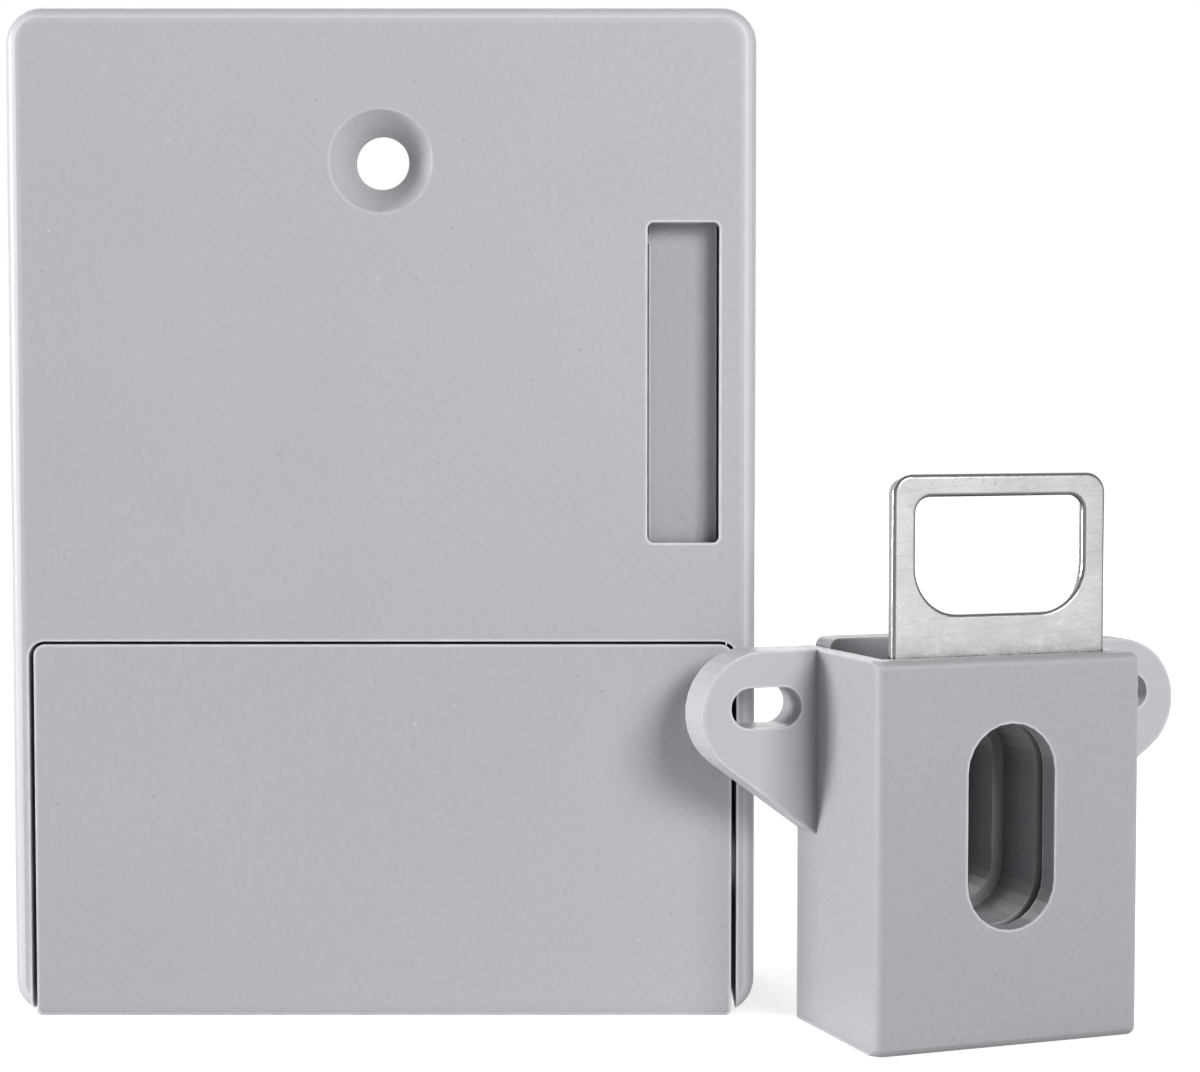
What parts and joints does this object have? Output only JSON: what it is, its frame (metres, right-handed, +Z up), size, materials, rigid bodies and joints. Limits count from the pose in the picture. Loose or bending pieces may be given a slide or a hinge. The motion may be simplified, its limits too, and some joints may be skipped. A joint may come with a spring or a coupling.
{
  "type": "electronic cabinet lock with keeper",
  "caption": "Battery-powered hidden cabinet lock: a flat body whose motor-driven bolt crosses a tall slot, and a separate eared keeper whose steel tongue enters that slot.",
  "frame": {"origin": "middle of the lock body's flat back face, the face that lies against the cabinet wall", "axes": "+X to the right as seen from the front, +Y from front to back into the cabinet wall, +Z up; the keeper stands to the right on the same floor, turned about its upright axis as pictured"},
  "size_m": [0.1172, 0.0385, 0.1],
  "materials": {
    "body_plastic": "fine matt moulded plastic, light grey",
    "pusher_plastic": "matt grey plastic",
    "tray_plastic": "black moulded plastic",
    "foam": "black foam strip",
    "cell_wrap": "plain coloured wrap on a steel can",
    "screw_steel": "zinc-plated steel",
    "contact_steel": "nickel-plated sheet steel",
    "spring_wire": "nickel-plated spring wire",
    "board": "green lacquered board",
    "chip_black": "black moulded housings",
    "crystal_metal": "tinned can",
    "capacitor_sleeve": "dark sleeve with a bare metal top",
    "socket_nylon": "natural nylon",
    "button_cap": "white plastic",
    "lead_sleeves": "one red and one black sleeve",
    "white_sleeves": "white sleeves",
    "copper": "enamelled copper wire, wound flat",
    "frame_plastic": "dark moulded plastic",
    "motor_metal": "bright plated motor can",
    "ground_steel": "ground steel",
    "brass_parts": "turned brass",
    "tongue_steel": "satin stainless sheet with rounded bright edges"
  },
  "bodies": {
    "lock": {"front_cover": "body_plastic", "back_cover": "body_plastic", "cover_screws": "screw_steel", "battery_tray": "tray_plastic", "tray_screws": "screw_steel", "aaa_cells": "cell_wrap", "contact_plates": "contact_steel", "contact_springs": "spring_wire", "circuit_board": "board", "board_screws": "screw_steel", "control_chips": "chip_black", "crystal_can": "crystal_metal", "capacitors": "capacitor_sleeve", "buzzer": "chip_black", "wire_sockets": "socket_nylon", "battery_leads": "lead_sleeves", "motor_leads": "lead_sleeves", "button_leads": "white_sleeves", "reader_coil": "copper", "closing_sensor": "chip_black", "switch_board": "board", "button_switch": "chip_black", "mechanism_frame": "frame_plastic", "frame_screws": "screw_steel", "motor_can": "motor_metal", "motor_end_cap": "socket_nylon", "screw_bushes": "brass_parts"},
    "battery_door": {"battery_door": "body_plastic", "door_pad": "foam"},
    "pusher": {"tongue_pusher": "pusher_plastic", "pusher_springs": "spring_wire"},
    "bolt": {"lock_bolt": "ground_steel", "bolt_nut": "brass_parts", "nut_screws": "screw_steel"},
    "drive_screw": {"lead_screw": "ground_steel", "screw_gear": "socket_nylon"},
    "motor_rotor": {"motor_shaft": "ground_steel", "motor_pinion": "brass_parts"},
    "button": {"program_button": "button_cap"},
    "keeper": {"keeper_case": "body_plastic"},
    "tongue": {"tongue_holder": "body_plastic", "tongue_plate": "tongue_steel", "tongue_rivets": "tongue_steel"}
  },
  "joints": [
    {"name": "door_slide", "type": "slide", "parent": "lock", "child": "battery_door", "axis": [0, 0, -1], "range_m": [0, 0.04]},
    {"name": "pusher_slide", "type": "slide", "parent": "lock", "child": "pusher", "axis": [0, 1, 0], "range_m": [0, 0.013], "stiffness_N_per_m": 60, "springref_m": -0.004, "deforming": ["pusher_springs"]},
    {"name": "bolt_slide", "type": "slide", "parent": "lock", "child": "bolt", "axis": [1, 0, 0], "range_m": [0, 0.0087]},
    {"name": "lead_screw_spin", "type": "hinge", "parent": "lock", "child": "drive_screw", "pos_m": [0, -0.01175, 0.0131], "axis": [1, 0, 0], "range_deg": [0, 1044.1]},
    {"name": "pinion_spin", "type": "hinge", "parent": "lock", "child": "motor_rotor", "pos_m": [0, -0.01175, 0.01956], "axis": [1, 0, 0], "range_deg": [-2923.4, 0]},
    {"name": "button_press", "type": "slide", "parent": "lock", "child": "button", "axis": [0, 1, 0], "range_m": [0, 0.0003], "stiffness_N_per_m": 60, "springref_m": -0.0005},
    {"name": "keeper_lift", "type": "slide", "parent": "lock", "child": "keeper", "axis": [0, 0, 1], "range_m": [0, 0.12]},
    {"name": "tongue_adjust", "type": "slide", "parent": "keeper", "child": "tongue", "axis": [0, 0, 1], "range_m": [-0.005, 0.005]}
  ],
  "couplings": [
    {"joint": "lead_screw_spin", "follows": "bolt_slide", "rad_per_m": 2094.4},
    {"joint": "pinion_spin", "follows": "bolt_slide", "rad_per_m": -5864.3}
  ]
}
